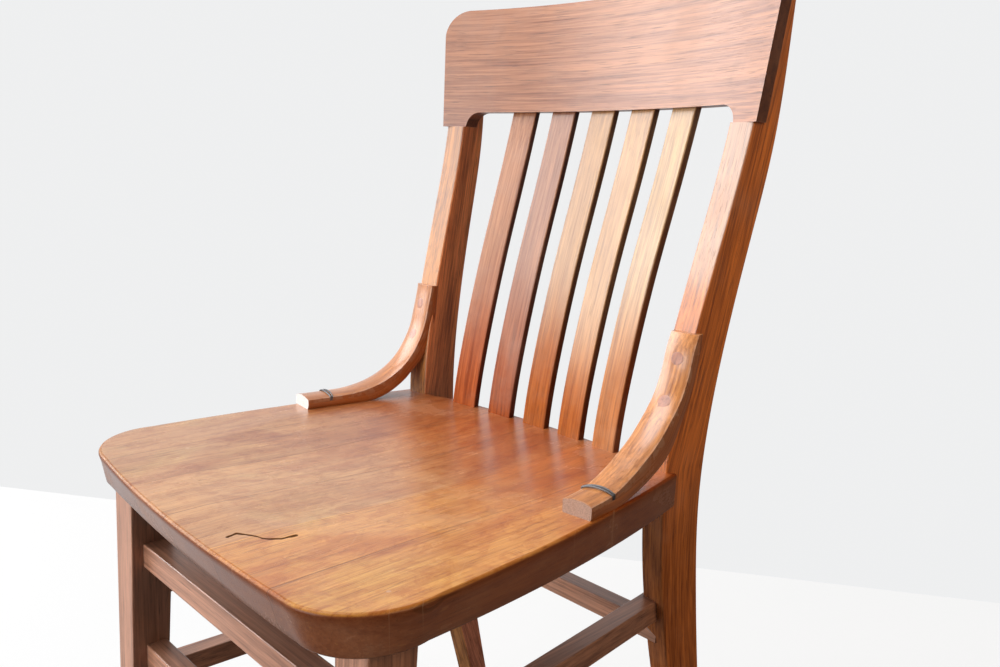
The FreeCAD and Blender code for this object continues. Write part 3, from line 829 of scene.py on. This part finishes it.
def build_plugs(side, material, node):
    """Round plugs sanded to the curve of the arm, each with its rim let into the arm."""
    # Rings from the middle outwards: radius and how far they stand proud of the arm.
    levels = ((0.0, 0.22), (2.5, 0.22), (5.0, 0.2), (5.9, 0.12), (PLUG_RADIUS, -0.3),
              (PLUG_RADIUS, -2.0))
    spokes = 32
    width = ARM_WIDTH[side]
    vertices = []
    faces = []
    for height in PLUG_HEIGHTS:
        length = length_to_height(side, height)
        base = len(vertices)
        for radius, proud in levels:
            for i in range(spokes):
                angle = 2 * math.pi * i / spokes
                spot, run = arm_top_at(side, length + radius * math.cos(angle))
                across = width / 2.0 + radius * math.sin(angle)
                out = Vector((-run.y, run.x, 0.0))
                if out.x < 0:
                    out = -out
                spot = spot + out * (proud - crown(across, width))
                vertices.append(arm_point(side, spot.x, across, spot.y))
        ring_faces = rings_to_faces(len(levels), spokes)
        if side < 0:
            ring_faces = [tuple(reversed(f)) for f in ring_faces]
        faces += [tuple(base + v for v in f) for f in ring_faces]
    piece(node + "_discs", vertices, faces, material, [node])


def tube(path, radius, vertices, faces, spokes=10):
    """Add a round tube along a path of points in metres."""
    base = len(vertices)
    previous = None
    for i, point in enumerate(path):
        ahead = path[min(i + 1, len(path) - 1)] - path[max(i - 1, 0)]
        ahead.normalize()
        side = Vector((0.0, 1.0, 0.0)) if previous is None else previous
        side = (side - ahead * side.dot(ahead)).normalized()
        previous = side
        other = ahead.cross(side)
        for k in range(spokes):
            angle = 2 * math.pi * k / spokes
            vertices.append(point + (side * math.cos(angle) + other * math.sin(angle)) * radius)
    ring_faces = rings_to_faces(len(path), spokes)
    faces += [tuple(base + v for v in f) for f in ring_faces]
    end = base + (len(path) - 1) * spokes
    faces.append(tuple(base + k for k in reversed(range(spokes))))
    faces.append(tuple(end + k for k in range(spokes)))


def build_wire(side, material, node):
    """Two strands of wire that part over the arm and meet where they enter its sides."""
    vertices = []
    faces = []
    top = arm_height(side, WIRE_AHEAD)
    width = ARM_WIDTH[side]
    steps = 32
    beside = 0.55                # from the side of the arm to the middle of the wire
    near_gap = 0.55              # from one strand to the middle of the pair, at its ends
    top_gap = 1.5                # how much more that is on top of the arm
    upright = 0.12               # share of the strand that stands beside the arm, at each end
    end_drop = 3.2               # how far the ends reach down the sides
    slant = 3.0                  # how much further from the post the inner end is
    for lean in (-1.0, 1.0):
        path = []
        for i in range(steps + 1):
            t = i / steps
            spread = lean * (near_gap + top_gap * math.sin(math.pi * t))
            if t < upright:
                across = -beside
                z = top - ARM_CROWN - end_drop * (upright - t) / upright
            elif t > 1.0 - upright:
                across = width + beside
                z = top - ARM_CROWN - end_drop * (t - 1.0 + upright) / upright
            else:
                share = (t - upright) / (1.0 - 2.0 * upright)
                across = -beside + (width + 2.0 * beside) * share
                held = min(width, max(0.0, across))
                z = top - crown(held, width) + 0.75 + 0.5 * math.sin(math.pi * share)
            ahead = WIRE_AHEAD + spread + slant * (t - 0.5)
            path.append(arm_point(side, ahead, across, z))
        tube(path, WIRE_RADIUS * MM, vertices, faces)
    piece(node + "_strands", vertices, faces, material, [node])


# ---- the other pieces ----------------------------------------------------------------------
def lit_face(direction, tint, veil=0.0, lowest=0.0):
    """One entry of face_lighting for wood()."""
    return direction, tint, veil, lowest


def build_back():
    """Materials of the crest rail, the slats and the posts."""
    # Faces of the crest turned to the right are darkened: painted shade.
    material = wood("oak_crest", CREST_TONES, "X", 5.0, contrast=1.25, bend=CREST_BEND,
                    face_lighting=(lit_face(RIGHTWARD, (0.42, 0.36, 0.30)),))
    dress("crest_rail", material, bevel=0.0012)
    # On the slats, the tint low down and the darker faces turned to the right are painted shade;
    # their polish thins low down too.
    for number, tones in enumerate(SLAT_TONES_AND_LIGHT, 1):
        material = wood("oak_slat_%d" % number, tones, "Z", 7.0 + number,
                        low_shade_tone=((0.96, 0.50, 0.25), 0.46, 0.63),
                        bend=SLAT_BEND[:4] + (SLAT_FAN * (number - 3),),
                        face_lighting=(lit_face(RIGHTWARD, (0.42, 0.36, 0.32)),))
        dress("slat_%d" % number, material)
    # Face tints of the posts: the right one's pale front above the seat is painted glare and wear,
    # its warmer right face painted warm light; the left one's lighter inner face is painted light
    # and its darker front painted shade.
    post_light_tints = {
        "post_right": (lit_face(FORWARD, (0.88, 1.15, 1.8), 0.45, 0.62),
                       lit_face(RIGHTWARD, (1.18, 1.08, 0.9))),
        "post_left": (lit_face(RIGHTWARD, (1.40, 1.72, 3.9)),
                      lit_face(FORWARD, (0.73, 0.94, 1.1))),
    }
    # Below the seat the posts are tinted greyer and darker: painted shade.
    for index, (name, side) in enumerate((("post_right", 1), ("post_left", -1))):
        material = wood("oak_" + name, POST_TONES, "Z", 20.0 + index, contrast=1.2,
                        low_shade_tone=((0.68, 0.74, 1.2), 0.36, 0.48),
                        face_lighting=post_light_tints[name],
                        bend=POST_BEND[:4] + (POST_BEND[4] * side,))
        dress(name, material)


def build_under_frame():
    """Materials of the front legs and the stretchers."""
    # Front faces of the legs and of the stretchers that run across are painted brighter: painted
    # light.
    front_lit = (lit_face(FORWARD, (1.35, 1.42, 1.5)),)
    groups = (
        ("Z", 30.0, front_lit, ("front_leg_right", "front_leg_left")),
        ("X", 40.0, front_lit, ("front_stretcher_upper", "front_stretcher_lower",
                               "rear_stretcher")),
        ("Y", 50.0, (), ("side_stretcher_upper_right", "side_stretcher_upper_left",
                         "side_stretcher_lower_right", "side_stretcher_lower_left")),
    )
    for grain, seed, group_light_tints, names in groups:
        for index, name in enumerate(names):
            material = wood("oak_" + name, LEG_TONES, grain, seed + index, face_lighting=group_light_tints)
            dress(name, material)


def build_brackets():
    """The two arms with their plugs and wires."""
    plug_material = wood("oak_plug", PLUG_TONES, "Z", 60.0)
    wire_material = metal("wire", (0.20, 0.20, 0.21), 0.35)
    for side, tag in ((1, "right"), (-1, "left")):
        # Faces of the arms turned to the right are darkened: painted shade.
        material = wood("oak_arm_" + tag, (ARM_LIGHT[side], ARM_DARK), "own", 70.0 + side,
                        gloss=0.28, end_tone_and_glare=ARM_END_TONE_AND_GLARE[side], coat=0.65,
                        face_lighting=(lit_face(RIGHTWARD, (0.82, 0.62, 0.45)),))
        build_bracket(side, material, "hip_bracket_" + tag)
        build_plugs(side, plug_material, "bracket_plugs_" + tag)
        build_wire(side, wire_material, "wire_loop_" + tag)


def build_screws():
    """The hidden screws only need steel."""
    steel = metal("screw_steel", (0.5, 0.5, 0.51), 0.3)
    for name in ("bracket_screws", "bracket_foot_screws", "crest_screws", "post_screws"):
        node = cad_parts[name]
        node.data.materials.clear()
        node.data.materials.append(steel)


# ---- floor, light and camera ---------------------------------------------------------------
def build_floor():
    """A pale sheet on the floor; beyond its slanting far edge is the plain wall."""
    edge_run = Vector((0.818, 0.575, 0.0))
    toward_viewer = Vector((0.575, -0.818, 0.0))
    half_length = 6.0
    width = 7.0
    edge_middle = place(-484.0, 474.0, -SEAT_HEIGHT)
    far_left = edge_middle - half_length * edge_run
    far_right = edge_middle + half_length * edge_run
    near = toward_viewer * width
    corners = [far_left, far_left + near, far_right + near, far_right]
    mesh = bpy.data.meshes.new("floor")
    mesh.from_pydata(corners, [], [(0, 1, 2, 3)])
    floor = bpy.data.objects.new("floor", mesh)
    bpy.context.scene.collection.objects.link(floor)
    # Most of its brightness is its own, seen by the camera only, so that it casts no glare.
    g = Graph("pale_floor")
    g.shader.inputs["Base Color"].default_value = (0.12, 0.12, 0.12, 1.0)
    g.shader.inputs["Roughness"].default_value = 0.7
    g.shader.inputs["Specular IOR Level"].default_value = 0.1
    g.shader.inputs["Emission Color"].default_value = (1.0, 1.0, 1.0, 1.0)
    path = g.nodes.new("ShaderNodeLightPath")
    g.put(g.shader.inputs["Emission Strength"],
          g.math("MULTIPLY", path.outputs["Is Camera Ray"], 0.79))
    floor.visible_glossy = False
    mesh.materials.append(g.material)


def area_light(name, position, target, size, power, color=(1.0, 1.0, 1.0)):
    """A square light at position, turned towards target."""
    data = bpy.data.lights.new(name, "AREA")
    data.shape = "SQUARE"
    data.size = size
    data.energy = power
    data.color = color
    light = bpy.data.objects.new(name, data)
    light.location = position
    aim = Vector(target) - Vector(position)
    light.rotation_euler = aim.to_track_quat("-Z", "Y").to_euler()
    bpy.context.scene.collection.objects.link(light)


def build_surroundings():
    """A plain pale wall behind the chair, and light around it that comes mostly from the left."""
    world = bpy.data.worlds.new("studio")
    bpy.context.scene.world = world
    world.use_nodes = True
    nodes = world.node_tree.nodes
    links = world.node_tree.links
    nodes.clear()
    out = nodes.new("ShaderNodeOutputWorld")
    mix = nodes.new("ShaderNodeMixShader")
    seen = nodes.new("ShaderNodeBackground")
    seen.inputs["Color"].default_value = (0.86, 0.865, 0.87, 1.0)
    fill = nodes.new("ShaderNodeBackground")
    fill.inputs["Color"].default_value = (0.97, 0.98, 1.0, 1.0)
    coords = nodes.new("ShaderNodeTexCoord")
    lean = nodes.new("ShaderNodeVectorMath")
    lean.operation = "DOT_PRODUCT"
    links.new(coords.outputs["Generated"], lean.inputs[0])
    lean.inputs[1].default_value = (-0.90, 0.10, 0.25)
    spread = nodes.new("ShaderNodeMapRange")
    spread.interpolation_type = "SMOOTHSTEP"
    links.new(lean.outputs["Value"], spread.inputs["Value"])
    spread.inputs["From Min"].default_value = 0.1
    spread.inputs["From Max"].default_value = 0.90
    spread.inputs["To Min"].default_value = FILL_DARK
    spread.inputs["To Max"].default_value = FILL_BRIGHT
    links.new(spread.outputs["Result"], fill.inputs["Strength"])
    path = nodes.new("ShaderNodeLightPath")
    links.new(path.outputs["Is Camera Ray"], mix.inputs[0])
    links.new(fill.outputs[0], mix.inputs[1])
    links.new(seen.outputs[0], mix.inputs[2])
    links.new(mix.outputs[0], out.inputs["Surface"])


def build_lights():
    """Four soft lights: from the left, from the front, from above and a warm one from the right."""
    area_light("key", (-2.4, -1.45, 1.8), (0.0, 0.0, 0.65), 2.2, KEY_POWER)
    area_light("front", (-0.2, -2.9, 0.9), (0.0, 0.0, 0.3), 1.6, FRONT_POWER)
    area_light("top", (-0.6, -0.5, 2.7), (0.0, 0.0, 0.5), 1.4, TOP_POWER)
    area_light("warm", (2.2, 0.3, 1.7), (0.0, 0.0, 0.7), 1.4, WARM_POWER, (1.0, 0.78, 0.55))


def build_camera():
    """A close view from the front right, a little below the top of the back."""
    data = bpy.data.cameras.new("camera")
    data.sensor_width = 36.0
    data.lens = 30.8
    data.shift_x = 0.007
    camera = bpy.data.objects.new("camera", data)
    eye = place(605.0, -645.4, 264.9)
    turn = math.radians(45.3)
    tilt = math.radians(-10.6)
    roll = math.radians(2.3)
    forward = Vector((-math.sin(turn) * math.cos(tilt), math.cos(turn) * math.cos(tilt),
                      math.sin(tilt)))
    level = Vector((math.cos(turn), math.sin(turn), 0.0))
    upright = level.cross(forward)
    right = level * math.cos(roll) + upright * math.sin(roll)
    up = upright * math.cos(roll) - level * math.sin(roll)
    axes = Matrix((right, up, -forward)).transposed()
    camera.matrix_world = Matrix.Translation(eye) @ axes.to_4x4()
    bpy.context.scene.collection.objects.link(camera)
    bpy.context.scene.camera = camera


build_seat(wood("oak_seat", SEAT_TONES, "Y", 3.0, boards=True, gloss=0.27))
build_back()
build_under_frame()
build_brackets()
build_screws()
build_floor()
build_surroundings()
build_lights()
build_camera()
bpy.context.scene.view_settings.view_transform = "Standard"
